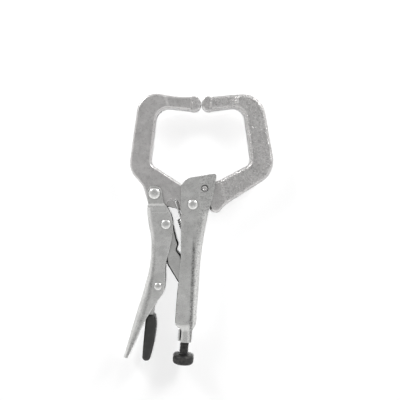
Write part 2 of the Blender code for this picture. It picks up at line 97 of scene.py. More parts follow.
# Depths and radii of the solid pieces.
TIP_HALF = half_depth("fixed_jaw")
LINK_HALF = half_depth("toggle_link")
RELEASE_HALF = half_depth("release_lever")
GRIP_HALF = half_depth("release_grip")
LEVER_HALF = half_depth("lever_handle")
BODY_HALF = half_depth("body_handle")
JAW_HALF = 3.5
JAW_NOSE_HALF = 2.9
FIXED_ARM_HALF = 4.1
FIXED_NOSE_HALF = 3.2
BOSS_RADIUS = 6.0
TIP_RADIUS = 3.85
RECESS_HALF = 1.6
RIVET_SHANK = 1.9
SMALL_SHANK = 1.3
PIN_RADIUS = 1.4

# Sheet metal.
BODY_SHEET = 1.8
BODY_BEND = 3.0
BODY_TAPER = 0.5
LEVER_SHEET = 1.6
LEVER_BEND = 3.0
JOGGLE = 0.7
EAR_RADIUS = 4.2
CUT_EDGE = 0.3
FLUSH = 0.012

# Adjusting screw: an M5 thread.
THREAD_RADIUS = 2.45
THREAD_PITCH = 0.8
THREAD_DEPTH = 0.42
SCREW_TIP = -30.6
NECK_RADIUS = 3.85
NECK_BORE = 2.85
NECK_NEAR_TURN = 122
NECK_FAR_TURN = 172
NECK_SHOULDER = (-65.8, -70.3)
NECK_END = -76.1
KNOB_RADIUS = 5.75
KNOB_START = 0.3
KNOB_LENGTH = 5.4
KNOB_ROUND = 1.9
SOCKET_RADIUS = 2.3
SOCKET_DEPTH = 3.6

# Return spring.
SPRING_HOLE = (-9.8, 2.0)
SPRING_TAB = (1.0, -30.0)
WIRE_RADIUS = 0.42
COIL_RADIUS = 2.05
COIL_FROM = 10.0
COIL_TO = 29.0
COIL_TURNS = 17
HOOK_DEPTH = 2.3
HOLE_RADIUS = 1.0

# Remeshed pieces.
FORGING_VOXEL = 0.3
LINK_VOXEL = 0.2


# ---------------------------------------------------------------- outlines

def arc(centre, radius, start, stop, steps):
    """Points on a circle from one angle to another, in degrees."""
    turns = [math.radians(start + (stop - start) * i / steps) for i in range(steps + 1)]
    return [(centre[0] + radius * math.cos(t), centre[1] + radius * math.sin(t)) for t in turns]


def circle(centre, radius, steps=ROUND_STEPS):
    return arc(centre, radius, 0, 360, steps)[:-1]


def rounded(corners):
    """A closed outline from corners (x, y) or (x, y, radius), each radius drawn as an arc."""
    points = []
    for i, corner in enumerate(corners):
        here = Vector(corner[:2])
        radius = corner[2] if len(corner) > 2 else 0.0
        back = (Vector(corners[i - 1][:2]) - here).normalized()
        ahead = (Vector(corners[(i + 1) % len(corners)][:2]) - here).normalized()
        inside = back.angle(ahead)
        if radius == 0 or inside > math.pi - 0.01:
            points.append(tuple(here))
            continue
        reach = radius / math.tan(inside / 2)
        start = here + back * reach
        stop = here + ahead * reach
        centre = here + (back + ahead).normalized() * radius / math.sin(inside / 2)
        steps = max(3, round(math.degrees(math.pi - inside) / ARC_DEGREES))
        sweep = (start - centre).angle_signed(stop - centre)
        for k in range(steps + 1):
            turn = Matrix.Rotation(-sweep * k / steps, 2)
            points.append(tuple(centre + turn @ (start - centre)))
    return points


def along(knots, y):
    """Smooth value at y through knots (y, value) that run down the tool, without overshoot."""
    slopes = [(b[1] - a[1]) / (b[0] - a[0]) for a, b in zip(knots, knots[1:])]
    inner = [(a + b) / 2 if a * b > 0 else 0.0 for a, b in zip(slopes, slopes[1:])]
    ends = [slopes[0], *inner, slopes[-1]]
    for i, (a, b) in enumerate(zip(knots, knots[1:])):
        if y >= b[0] or i == len(knots) - 2:
            width = b[0] - a[0]
            t = min(max((y - a[0]) / width, 0.0), 1.0)
            lean = (1 - t) * (ends[i] - slopes[i]) - t * (ends[i + 1] - slopes[i])
            return a[1] + (b[1] - a[1]) * t + t * (1 - t) * width * lean
    return knots[-1][1]


def smooth(value, start=0.0, stop=1.0):
    """0 before start, 1 after stop, with a soft rise between them."""
    t = min(max((value - start) / (stop - start), 0.0), 1.0)
    return t * t * (3 - 2 * t)


# ---------------------------------------------------------------- mesh tools

def new_object(name, mesh):
    made = bpy.data.objects.new(name, mesh)
    bpy.context.scene.collection.objects.link(made)
    return made


def settle(thing):
    """Applies a piece's modifiers to its mesh."""
    bpy.context.view_layer.update()
    ready = thing.evaluated_get(bpy.context.evaluated_depsgraph_get())
    mesh = bpy.data.meshes.new_from_object(ready)
    old = thing.data
    thing.modifiers.clear()
    thing.data = mesh
    if isinstance(old, bpy.types.Mesh):
        bpy.data.meshes.remove(old)
    return thing


def from_curve(name, curve, height):
    """The closed mesh of a filled or bevelled curve."""
    guide = bpy.data.objects.new(name + "_guide", curve)
    bpy.context.scene.collection.objects.link(guide)
    guide.location.z = height * MM
    bpy.context.view_layer.update()
    ready = guide.evaluated_get(bpy.context.evaluated_depsgraph_get())
    mesh = bpy.data.meshes.new_from_object(ready)
    mesh.transform(guide.matrix_world)
    mesh.materials.clear()
    bpy.data.objects.remove(guide)
    bpy.data.curves.remove(curve)
    shape = bmesh.new()
    shape.from_mesh(mesh)
    bmesh.ops.remove_doubles(shape, verts=shape.verts, dist=1e-6)
    bmesh.ops.recalc_face_normals(shape, faces=shape.faces)
    shape.to_mesh(mesh)
    shape.free()
    return new_object(name, mesh)


def plate(name, outline, low, high, holes=(), edge=0.0, segments=4):
    """A flat piece between two depths, with its round holes and rounded edges."""
    curve = bpy.data.curves.new(name, "CURVE")
    curve.dimensions = "2D"
    curve.fill_mode = "BOTH"
    curve.extrude = (high - low) / 2 * MM
    for loop in (outline, *holes):
        spline = curve.splines.new("POLY")
        spline.points.add(len(loop) - 1)
        spline.use_cyclic_u = True
        for point, (x, y) in zip(spline.points, loop):
            point.co = (x * MM, y * MM, 0.0, 1.0)
    made = from_curve(name, curve, MIDDLE + (low + high) / 2)
    shape = bmesh.new()
    shape.from_mesh(made.data)
    flat = [e for e in shape.edges if len(e.link_faces) == 2 and e.calc_face_angle() < 0.001]
    bmesh.ops.dissolve_edges(shape, edges=flat, use_verts=False)
    shape.to_mesh(made.data)
    shape.free()
    if edge:
        round_edges(made, edge, segments, 50)
        settle(made)
    return made


def round_edges(thing, width, segments, limit, clamp=True):
    bevel = thing.modifiers.new("rounding", "BEVEL")
    bevel.use_clamp_overlap = clamp
    bevel.width = width * MM
    bevel.segments = segments
    bevel.limit_method = "ANGLE"
    bevel.angle_limit = math.radians(limit)


def set_depth(thing, point, across, width, change, cuts=0):
    """Re-forges one side of a line: change(depth) gives the new depth, over a soft slope of this width.

    A coarse piece is first cut across the slope, so that it can follow it.
    """
    way = Vector((*across, 0.0)).normalized()
    start = Vector((point[0] * MM, point[1] * MM, MIDDLE * MM))
    shape = bmesh.new()
    shape.from_mesh(thing.data)
    for i in range(cuts):
        whole = [*shape.verts, *shape.edges, *shape.faces]
        cut = start + way * width * MM * i / (cuts - 1)
        bmesh.ops.bisect_plane(shape, geom=whole, plane_co=cut, plane_no=way, dist=1e-7)
    for vertex in shape.verts:
        share = smooth((vertex.co - start).dot(way) / (width * MM))
        depth = vertex.co.z / MM - MIDDLE
        vertex.co.z = (MIDDLE + depth + (change(depth) - depth) * share) * MM
    shape.to_mesh(thing.data)
    shape.free()


def loft(name, rings):
    """A closed skin through rings of points (x, y, depth), all of the same count."""
    shape = bmesh.new()
    rows = [[shape.verts.new((x * MM, y * MM, (MIDDLE + d) * MM)) for x, y, d in ring] for ring in rings]
    count = len(rows[0])
    for row, row_next in zip(rows, rows[1:]):
        for i in range(count):
            k = (i + 1) % count
            shape.faces.new((row[i], row[k], row_next[k], row_next[i]))
    shape.faces.new(rows[0])
    shape.faces.new(rows[-1])
    bmesh.ops.recalc_face_normals(shape, faces=shape.faces)
    mesh = bpy.data.meshes.new(name)
    shape.to_mesh(mesh)
    shape.free()
    return new_object(name, mesh)


def turned(name, profile, steps=ROUND_STEPS):
    """A turned piece from radii and heights, given from its top to its bottom."""
    mesh = bpy.data.meshes.new(name)
    points = [(radius * MM, 0.0, height * MM) for radius, height in profile]
    mesh.from_pydata(points, [(i, i + 1) for i in range(len(points) - 1)], [])
    made = new_object(name, mesh)
    screw = made.modifiers.new("turn", "SCREW")
    screw.axis = "Z"
    screw.steps = steps
    screw.render_steps = steps
    screw.use_merge_vertices = True
    screw.merge_threshold = 0.000001
    return settle(made)


def place(thing, matrix):
    thing.data.transform(matrix)
    return thing


def combine(thing, other, operation):
    """Joins another solid to a piece, or cuts it out, and removes that solid."""
    change = thing.modifiers.new("combine", "BOOLEAN")
    change.operation = operation
    change.solver = "EXACT"
    change.object = other
    settle(thing)
    bpy.data.objects.remove(other)
    return thing


def bore(thing, at, radius):
    """Drills a round hole right through a piece."""
    combine(thing, plate("bore", circle(at, radius), -2 * MIDDLE, 2 * MIDDLE), "DIFFERENCE")


def reforge(thing, voxel, passes):
    """Gives a solid the even, softly rounded skin of a forging."""
    remesh = thing.modifiers.new("skin", "REMESH")
    remesh.mode = "VOXEL"
    remesh.voxel_size = voxel * MM
    soften = thing.modifiers.new("soften", "SMOOTH")
    soften.factor = 0.5
    soften.iterations = passes
    return settle(thing)


def pebble(thing, size, height, where=None):
    """Moves the skin in and out by a fine grain; where(x, y) from 0 to 1 says how much."""
    mesh = thing.data
    normals = [vertex.normal.copy() for vertex in mesh.vertices]
    for vertex, normal in zip(mesh.vertices, normals):
        spot = vertex.co / (size * MM)
        grain = noise.noise(spot) + 0.5 * noise.noise(spot * 2.1)
        share = where(vertex.co.x / MM, vertex.co.y / MM) if where else 1.0
        vertex.co += normal * grain * height * MM * share
    mesh.update()


def mark_crease(thing, line, side):
    """Stores how far each point lies past the line of a channel's darker stripe, toward its spine, in
    millimetres.
    """
    spots = [vertex.co / MM for vertex in thing.data.vertices]
    values = [side * (spot.x - along(line, spot.y)) for spot in spots]
    thing.data.attributes.new("past_crease", "FLOAT", "POINT").data.foreach_set("value", values)


def show(thing, node, body, look, angle, weighted=False):
    """Finishes a piece: its shading, its material, the node it stands for and the body it rides on."""
    thing.data.materials.clear()
    thing.data.materials.append(look)
    thing.data.shade_smooth()
    thing.data.set_sharp_from_angle(angle=math.radians(angle))
    if weighted:
        even = thing.modifiers.new("even_shading", "WEIGHTED_NORMAL")
        even.keep_sharp = True
        settle(thing)
    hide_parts(node)
    if body:
        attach(thing, body)
    return thing


# ---------------------------------------------------------------- materials

class Look:
    """A Principled material whose inputs are built from a few named textures."""

    def __init__(self, name, colour, metallic, roughness):
        self.material = bpy.data.materials.new(name)
        self.material.use_nodes = True
        self.nodes = self.material.node_tree.nodes
        self.links = self.material.node_tree.links
        self.shader = self.nodes["Principled BSDF"]
        self.shader.inputs["Base Color"].default_value = (*colour, 1.0)
        self.shader.inputs["Metallic"].default_value = metallic
        self.shader.inputs["Roughness"].default_value = roughness
        self.place = self.nodes.new("ShaderNodeTexCoord").outputs["Object"]

    def join(self, value, socket):
        if hasattr(value, "is_linked"):
            self.links.new(value, socket)
        else:
            socket.default_value = value

    def noise(self, size_mm, detail=3.0, rough=0.55):
        node = self.nodes.new("ShaderNodeTexNoise")
        node.inputs["Scale"].default_value = 1 / (size_mm * MM)
        node.inputs["Detail"].default_value = detail
        node.inputs["Roughness"].default_value = rough
        self.links.new(self.place, node.inputs["Vector"])
        return node.outputs["Fac"]

    def math(self, operation, a, b):
        node = self.nodes.new("ShaderNodeMath")
        node.operation = operation
        self.join(a, node.inputs[0])
        self.join(b, node.inputs[1])
        return node.outputs[0]

    def range(self, value, low, high, to_low, to_high):
        node = self.nodes.new("ShaderNodeMapRange")
        node.interpolation_type = "SMOOTHSTEP"
        self.links.new(value, node.inputs["Value"])
        limits = {"From Min": low, "From Max": high, "To Min": to_low, "To Max": to_high}
        for name, number in limits.items():
            node.inputs[name].default_value = number
        return node.outputs["Result"]

    def mix(self, share, a, b):
        node = self.nodes.new("ShaderNodeMix")
        node.data_type = "RGBA"
        self.join(share, node.inputs[0])
        for value, socket in ((a, node.inputs[6]), (b, node.inputs[7])):
            self.join(value if hasattr(value, "is_linked") else (*value, 1.0), socket)
        return node.outputs[2]

    def attribute(self, name):
        node = self.nodes.new("ShaderNodeAttribute")
        node.attribute_name = name
        return node.outputs["Fac"]

    def axis(self, name):
        node = self.nodes.new("ShaderNodeSeparateXYZ")
        self.links.new(self.place, node.inputs[0])
        return node.outputs[name]

    def facing(self):
        """The upward part of the surface's normal."""
        node = self.nodes.new("ShaderNodeSeparateXYZ")
        self.links.new(self.nodes.new("ShaderNodeNewGeometry").outputs["Normal"], node.inputs[0])
        return node.outputs["Z"]

    def sharp_edge_mask(self, radius_mm, reach=0.12):
        """0 on flat skin, rising to 1 where the surface turns sharply within a small radius."""
        bevel = self.nodes.new("ShaderNodeBevel")
        bevel.samples = 4
        bevel.inputs["Radius"].default_value = radius_mm * MM
        flat = self.nodes.new("ShaderNodeNewGeometry").outputs["Normal"]
        dot = self.nodes.new("ShaderNodeVectorMath")
        dot.operation = "DOT_PRODUCT"
        self.links.new(bevel.outputs["Normal"], dot.inputs[0])
        self.links.new(flat, dot.inputs[1])
        return self.range(self.math("SUBTRACT", 1.0, dot.outputs["Value"]), 0.0, reach, 0.0, 1.0)

    def ambient_occlusion(self, distance_mm):
        """Ambient occlusion, used to paint shade: 1 in the open, falling to 0 deep in a corner."""
        node = self.nodes.new("ShaderNodeAmbientOcclusion")
        node.samples = 4
        node.inputs["Distance"].default_value = distance_mm * MM
        return node.outputs["AO"]

    def bump(self, height, strength, distance_mm, under=None):
        node = self.nodes.new("ShaderNodeBump")
        node.inputs["Strength"].default_value = strength
        node.inputs["Distance"].default_value = distance_mm * MM
        self.links.new(height, node.inputs["Height"])
        if under:
            self.links.new(under, node.inputs["Normal"])
        return node.outputs["Normal"]

    def set(self, name, value):
        self.join(value, self.shader.inputs[name])


def scaled(colour, factor):
    return [min(1.0, c * factor) for c in colour]


def plated_steel(
    name, colour, roughness, grain_mm, grain_strength,
    pebbles=None, painted_inside_shade=False, painted_side_shade=False, bend_stripe_and_highlight=0.0,
):
    """Satin nickel plate: cloudy tone, fine pores, faint scuffs, edges painted brighter as rubbed wear and
    as a painted highlight, and painted shade in corners.

    A formed channel also has a darker speckled line of this strength beside its bend, and the bend beyond
    the line is lightened by a painted highlight.
    """
    look = Look(name, colour, 1.0, roughness)
    cloud = look.noise(6.0, 4.0)
    cloudy = look.range(cloud, 0.36, 0.64, 0.0, 1.0)
    tone = look.mix(cloudy, scaled(colour, 0.91), scaled(colour, 1.06))
    pores = look.noise(0.5, 2.0)
    tone = look.mix(look.range(pores, 0.38, 0.62, 0.35, 0.0), tone, scaled(colour, 0.7))
    # Edges are painted brighter: partly rubbed plating, partly a painted highlight along the rims.
    edges = look.sharp_edge_mask(0.5)
    tone = look.mix(look.math("MULTIPLY", edges, 0.6), tone, scaled(colour, 1.55))
    # Painted shade: corners that nearby surfaces hide are darkened, by ambient occlusion.
    unoccluded_share = look.ambient_occlusion(1.4)
    tone = look.mix(look.range(unoccluded_share, 0.25, 0.85, 0.8, 0.0), tone, scaled(colour, 0.3))
    # Painted shade: upward faces low down, the inside of a channel's far wall, are darkened as if in the
    # channel's shadow.
    if painted_inside_shade:
        deep = look.range(look.axis("Z"), 2.5 * MM, 6.0 * MM, 1.0, 0.0)
        inside = look.math("MULTIPLY", deep, look.range(look.facing(), 0.1, 0.5, 0.0, 0.9))
        tone = look.mix(inside, tone, scaled(colour, 0.16))
    # Painted shade: faces that turn away from the top, the sides of the piece, are darkened almost to
    # black as if in shadow.
    if painted_side_shade:
        sides = look.range(look.facing(), 0.8, 0.995, 0.97, 0.0)
        tone = look.mix(sides, tone, scaled(colour, 0.06))
    # Along a channel's bend: a darker speckled line beside it, and a painted highlight that lightens the
    # bend beyond it; both fade out towards the jaws.
    if bend_stripe_and_highlight:
        across = look.attribute("past_crease")
        below = look.range(look.axis("Y"), -25 * MM, -15 * MM, bend_stripe_and_highlight, 0.0)
        beyond = look.range(across, 0.2, 1.5, 0.0, 1.0)
        line = look.math("SUBTRACT", look.range(across, -1.5, -0.2, 0.0, 1.0), beyond)
        specks = look.range(look.noise(0.9, 2.0), 0.38, 0.62, 1.0, 0.35)
        dark = look.math("MULTIPLY", look.math("MULTIPLY", line, specks), below)
        tone = look.mix(dark, tone, scaled(colour, 0.25))
        painted_bend_highlight = look.math("MULTIPLY", look.math("MULTIPLY", beyond, below), 0.5)
        tone = look.mix(painted_bend_highlight, tone, scaled(colour, 1.35))
    look.set("Base Color", tone)
    scuffs = look.noise(1.6, 5.0, 0.65)
    rough = look.range(scuffs, 0.32, 0.7, roughness - 0.08, roughness + 0.1)
    look.set("Roughness", look.math("SUBTRACT", rough, look.math("MULTIPLY", edges, 0.08)))
    waves = look.bump(look.noise(5.0, 2.0), 0.3, 0.35)
    grain = look.bump(look.noise(grain_mm, 3.0, 0.6), grain_strength, 0.08, waves)
    if pebbles:
        lean, low, high, size, strength = pebbles
        across = look.math("SUBTRACT", look.axis("X"), look.math("MULTIPLY", look.axis("Y"), lean))
        share = look.range(across, low * MM, high * MM, 0.0, 1.0)
        pits = look.noise(size, 1.0)
        grain = look.bump(look.math("MULTIPLY", pits, share), strength, 0.3, grain)
        dark = look.math("MULTIPLY", look.range(pits, 0.34, 0.54, 0.5, 0.0), share)
        look.set("Base Color", look.mix(dark, tone, scaled(colour, 0.5)))
    look.set("Normal", grain)
    return look.material


def bright_rivet_steel():
    look = Look("bright_rivet_steel", (0.62, 0.62, 0.61), 1.0, 0.18)
    cloud = look.noise(1.2, 3.0)
    cloudy = look.range(cloud, 0.3, 0.7, 0.0, 1.0)
    look.set("Base Color", look.mix(cloudy, (0.56, 0.56, 0.55), (0.68, 0.68, 0.67)))
    look.set("Roughness", look.range(look.noise(0.5, 2.0), 0.3, 0.7, 0.15, 0.22))
    look.set("Normal", look.bump(look.noise(0.35, 2.0), 0.12, 0.03))
    return look.material


def spring_wire_steel():
    look = Look("drawn_spring_wire", (0.34, 0.34, 0.34), 1.0, 0.3)
    lines = look.noise(0.15, 2.0)
    drawn = look.range(lines, 0.35, 0.65, 0.0, 1.0)
    # The wire's base is painted far lighter than steel, as a painted highlight that makes the wire and its
    # hook read bright; the fine variation in it stands for the drawn finish.
    look.set("Base Color", look.mix(drawn, (0.8, 0.8, 0.8), (0.92, 0.92, 0.91)))
    look.set("Roughness", look.range(look.noise(0.7, 2.0), 0.3, 0.7, 0.24, 0.38))
    return look.material


def dipped_vinyl():
    look = Look("dipped_black_vinyl", (0.022, 0.022, 0.021), 0.0, 0.42)
    dust = look.noise(2.5, 4.0)
    dusty = look.range(dust, 0.45, 0.75, 0.0, 1.0)
    look.set("Base Color", look.mix(dusty, (0.013, 0.013, 0.0125), (0.024, 0.024, 0.023)))
    look.set("Roughness", look.range(look.noise(1.1, 3.0), 0.3, 0.7, 0.36, 0.5))
    skin = look.bump(look.noise(0.45, 2.0), 0.18, 0.04)
    look.set("Normal", look.bump(look.noise(5.0, 1.0), 0.1, 0.3, skin))
    return look.material


def black_oxide_steel():
    roughness = 0.46
    look = Look("black_oxide_steel", (0.035, 0.035, 0.036), 0.65, roughness)
    cloud = look.noise(1.6, 4.0)
    tone = look.mix(look.range(cloud, 0.35, 0.7, 0.0, 1.0), (0.026, 0.026, 0.027), (0.062, 0.06, 0.056))
    # Worn edges show lighter grey steel through the oxide.
    edges = look.sharp_edge_mask(0.3)
    look.set("Base Color", look.mix(look.math("MULTIPLY", edges, 0.4), tone, (0.15, 0.15, 0.15)))
    look.set("Roughness", look.range(look.noise(0.8, 3.0), 0.3, 0.7, roughness - 0.06, roughness + 0.1))
    look.set("Normal", look.bump(look.noise(0.3, 3.0), 0.25, 0.04))
    return look.material


# Pits of the skin: the lean of the line where they start, their start and full depth across it,
# their size and strength. They lie on the body's spine side, on the fixed jaw beyond its root,
# and on the moving jaw's tip and the pin.
BODY_PEBBLES = (0.093, 3.0, 3.8, 0.8, 0.8)
JAW_PEBBLES = (-0.15, 13.5, 16.0, 0.7, 0.9)
TIP_PEBBLES = (0.0, -1.2, -0.4, 0.7, 0.9)
PLATED_BODY = plated_steel(
    "plated_body_sheet", (0.57, 0.57, 0.56), 0.32, 0.5, 0.4, BODY_PEBBLES, painted_inside_shade=True, bend_stripe_and_highlight=0.95,
)
PLATED_LEVER = plated_steel(
    "plated_lever_sheet", (0.59, 0.59, 0.58), 0.32, 0.5, 0.4, painted_inside_shade=True, bend_stripe_and_highlight=0.5,
)
PLATED_LINK = plated_steel("plated_link_sheet", (0.55, 0.55, 0.54), 0.34, 0.5, 0.35, painted_side_shade=True)
PLATED_SMOOTH = plated_steel("plated_smooth_forging", (0.55, 0.54, 0.535), 0.34, 0.7, 0.45, TIP_PEBBLES)
PLATED_ROUGH = plated_steel("plated_pebbled_forging", (0.55, 0.54, 0.535), 0.3, 0.7, 0.5, JAW_PEBBLES)
RIVET = bright_rivet_steel()
WIRE = spring_wire_steel()
VINYL = dipped_vinyl()
OXIDE = black_oxide_steel()


# ---------------------------------------------------------------- body handle

BODY_SPINE = [(-3.8, 8.6), (-15.7, 6.3), (-31.3, 4.15), (-48.0, 2.95), (-66.5, 1.6)]
BODY_NEAR = [(-3.8, -6.5), (-26.0, -6.5), (-41.2, -7.6), (-54.3, -8.6), (-66.5, -9.5)]
BODY_FAR = [(-3.8, -6.5), (-26.0, -6.5), (-41.2, -7.9), (-54.3, -9.3), (-66.5, -10.1)]
BODY_CREASE = [(10.0, 2.9), (-23.5, 0.6), (-46.9, -0.3), (-66.5, -1.0)]


def screw_x(y):
    """Where the screw's axis crosses this height."""
    return KNOB_TOP.x + (y - KNOB_TOP.y) * SCREW_SLOPE


def channel_paths(near, far, spine, half, bend, sheet, straight=14, bends=10):
    """Outer and inner paths (x, depth) of a channel, from its near edge round the spine to the far one."""
    side = 1.0 if spine > near else -1.0
    near += side * CUT_EDGE
    far += side * CUT_EDGE
    paths = []
    for inset in (0.0, sheet):
        radius = max(bend - inset, 0.4)
        depth = half - inset
        wall = spine - side * inset
        corner = wall - side * radius
        path = [(near + (corner - near) * k / straight, depth) for k in range(straight)]
        for first, level in ((90, depth - radius), (0, radius - depth)):
            for k in range(bends + 1):
                turn = math.radians(first - 90 * k / bends)
                path.append((corner + side * radius * math.cos(turn), level + radius * math.sin(turn)))
        path += [(corner + (far - corner) * (k + 1) / straight, -depth) for k in range(straight)]
        paths.append(path)
    return paths


def ring_paths(model, centre, near_angle, far_angle):
    """Paths round the open neck with the points of a model path, spread by its length."""
    lengths = [0.0]
    for a, b in zip(model, model[1:]):
        lengths.append(lengths[-1] + math.dist(a, b))
    half_way = lengths[-1] / 2
    paths = []
    for radius in (NECK_RADIUS, NECK_BORE):
        path = []
        for length in lengths:
            share = 1 - length / half_way
            turn = math.radians(near_angle * share if share > 0 else far_angle * share)
            path.append((centre + radius * math.cos(turn), radius * math.sin(turn)))
        paths.append(path)
    return paths


def cut_edge(start, stop, outward, steps=6):
    """Rounded end of a sheet between its two faces."""
    centre = (start + stop) / 2
    half = (stop - start) / 2
    points = []
    for k in range(1, steps):
        across = -math.cos(math.pi * k / steps)
        points.append(centre + half * across + outward * CUT_EDGE * (1 - across ** 4) ** 0.25)
    return points


def sheet_section(outer, inner):
    """One closed loop round a folded sheet with rounded cut edges."""
    outer = [Vector(point) for point in outer]
    inner = [Vector(point) for point in inner]
    start_way = (outer[0] - outer[1]).normalized()
    stop_way = (outer[-1] - outer[-2]).normalized()
    loop = [*outer, *cut_edge(outer[-1], inner[-1], stop_way), *inner[::-1]]
    return loop + cut_edge(inner[0], outer[0], start_way)


def body_ring(y):
    """The body's section: an open channel, drawn in below the shoulder to a split tube."""
    formed = smooth(-y, -NECK_SHOULDER[0], -NECK_SHOULDER[1])
    centre = screw_x(y)
    half = BODY_HALF - BODY_TAPER * smooth(-y, 43, 56)
    edges = (along(BODY_NEAR, y), along(BODY_FAR, y), along(BODY_SPINE, y))
    channel = channel_paths(*edges, half, BODY_BEND, BODY_SHEET)
    tube = ring_paths(channel[0], centre, NECK_NEAR_TURN, NECK_FAR_TURN)
    paths = []
    for path_a, path_b in zip(channel, tube):
        paths.append([Vector(a).lerp(Vector(b), formed) for a, b in zip(path_a, path_b)])
    section = sheet_section(*paths)
    return [(p.x, y - (p.x - centre) * SCREW_SLOPE * formed, p.y) for p in section]


def body_handle():
    top = BODY_SPINE[0][0]
    heights = [top + (NECK_SHOULDER[0] - top) * i / 60 for i in range(61)]
    heights += [NECK_SHOULDER[0] + (NECK_SHOULDER[1] - NECK_SHOULDER[0]) * i / 18 for i in range(1, 19)]
    heights += [NECK_SHOULDER[1] + (NECK_END - NECK_SHOULDER[1]) * i / 10 for i in range(1, 11)]
    body = loft("formed_body_handle", [body_ring(y) for y in heights])
    round_edges(body, 0.25, 3, 60)
    settle(body)
    cheek = rounded([
        (-5.6, -8.0), (-5.6, -4.6), (-6.5, -4.5), (-6.5, 13.97, 7.0), (13.3, 17.2, 1.4), (11.2, 4.7, 30.0),
        (8.6, -3.8), (5.4, -3.9), (4.6, -8.0),
    ])
    holes = [circle(MAIN_PIVOT, RIVET_SHANK + GAP), circle(FIXED_JAW_PIN, PIN_RADIUS + GAP)]
    inner = BODY_HALF - BODY_SHEET
    for low, high in ((inner - FLUSH, BODY_HALF + FLUSH), (-BODY_HALF - FLUSH, FLUSH - inner)):
        combine(body, plate("cheek", cheek, low, high, holes, 0.3, 3), "UNION")
    for side in (1, -1):
        ring = turned("countersink", [(0.0, 0.6), (2.1, 0.6), (2.1, 0.0), (1.5, -0.7), (0.0, -0.7)])
        face = Matrix.Rotation(math.pi, 4, "X") if side < 0 else Matrix.Identity(4)
        place(ring, Matrix.Translation(Vector((*FIXED_JAW_PIN, MIDDLE + side * BODY_HALF)) * MM) @ face)
        combine(body, ring, "DIFFERENCE")
    tab = rounded([(4.0, -28.2), (0.2, -28.4, 1.2), (-0.7, -30.0, 1.0), (0.2, -31.6, 1.2), (3.4, -31.8)])
    combine(body, plate("tab", tab, -0.6, 0.6, [circle(SPRING_TAB, HOLE_RADIUS, 24)], 0.12, 2), "UNION")
    mark_crease(body, BODY_CREASE, 1)
    show(body, "body_handle", "body", PLATED_BODY, 35, True)


# ---------------------------------------------------------------- jaws

def half_round(edge, centre, height, facing):
    """Outline of a jaw tip: a straight back at edge and a round nose that faces the other tip."""
    start = 90 if facing < 0 else -90
    nose = arc((centre, height), TIP_RADIUS, start, start + 180, 40)
    back = [(edge, height - TIP_RADIUS), (edge, height + TIP_RADIUS)]
    return nose + (back if facing < 0 else back[::-1])


def moving_jaw():
    boss = arc(MAIN_PIVOT, BOSS_RADIUS, -118, 50, 42)
    outer = [
        (0.6, 59.55), (-9.5, 59.7, 40.0), (-19.0, 61.3, 8.0), (-29.6, 61.7, 11.0), (-35.4, 19.4, 12.0),
        (-27.5, 10.3, 8.0), (-24.3, -0.9, 4.5), (-14.6, -0.9, 0.6), (-8.9, -2.3, 2.0),
    ]
    inner = [(-23.5, 22.2, 4.5), (-19.9, 54.4, 7.5), (-12.0, 53.4, 12.0), (0.6, 52.05)]
    outline = rounded([*outer, *boss, *inner])
    jaw = plate("forged_moving_jaw", outline, -JAW_HALF, JAW_HALF)
    round_edges(jaw, 1.3, 5, 50, False)
    settle(jaw)
    reforge(jaw, FORGING_VOXEL, 0)
    set_depth(jaw, (-16.5, 58.5), (1.0, 0.42), 2.8, lambda depth: depth * JAW_NOSE_HALF / JAW_HALF)
    recess = [*arc((-10.95, -0.3), 3.5, 0, 180, 40), (-14.45, -6.0), (-6.4, -6.0)]
    for low, high in ((RECESS_HALF, 5.0), (-5.0, -RECESS_HALF)):
        combine(jaw, plate("recess", recess, low, high), "DIFFERENCE")
    tip = plate("tip", half_round(-0.8, 0.78, 55.8, 1), -TIP_HALF, TIP_HALF, (), 0.35, 3)
    combine(jaw, tip, "UNION")
    reforge(jaw, FORGING_VOXEL, 2)
    pebble(jaw, 1.1, 0.02)
    bore(jaw, MAIN_PIVOT, RIVET_SHANK + GAP)
    bore(jaw, JAW_LEVER_PIVOT, RIVET_SHANK + GAP)
    bore(jaw, SPRING_HOLE, HOLE_RADIUS)
    show(jaw, "moving_jaw", "jaw", PLATED_SMOOTH, 65)


def fixed_jaw():
    seat = arc(MAIN_PIVOT, BOSS_RADIUS + 0.45, -8, 50, 20)
    lower = [(9.4, -1.3, 1.2), (10.1, -4.0, 2.4), (13.9, -4.8, 2.8), (18.2, 0.1, 4.0)]
    outer = [(45.8, 17.5, 13.5), (38.2, 61.0, 12.4), (24.0, 60.9, 40.0), (9.0, 59.55)]
    inner = [
        (9.0, 52.05), (18.5, 53.3, 12.0), (28.1, 54.4, 6.8), (32.4, 22.6, 4.5), (13.5, 12.8, 10.0),
        (0.4, 12.6, 2.0),
    ]
    outline = rounded([(0.4, 8.05, 0.6), *seat[::-1], *lower, *outer, *inner])
    jaw = plate("forged_fixed_jaw", outline, -FIXED_ARM_HALF, FIXED_ARM_HALF)
    round_edges(jaw, 1.9, 6, 50, False)
    settle(jaw)
    reforge(jaw, FORGING_VOXEL, 0)
    root = JAW_HALF / FIXED_ARM_HALF
    nose = FIXED_NOSE_HALF / FIXED_ARM_HALF
    set_depth(jaw, (18.6, 4.7), (-1.0, -0.25), 2.6, lambda depth: depth * root)
    set_depth(jaw, (25.0, 55.3), (-1.0, 0.55), 4.6, lambda depth: depth * nose)
    tip = plate("tip", half_round(10.0, 8.88, 55.8, -1), -TIP_HALF, TIP_HALF, (), 0.35, 3)
    combine(jaw, tip, "UNION")
    reforge(jaw, FORGING_VOXEL, 2)
    pebble(jaw, 0.8, 0.11, lambda x, y: smooth(x, 14.0, 24.0) * 0.8 + 0.2)
    bore(jaw, FIXED_JAW_PIN, PIN_RADIUS + GAP)
    show(jaw, "fixed_jaw", "body", PLATED_ROUGH, 65)


# ---------------------------------------------------------------- lever handle

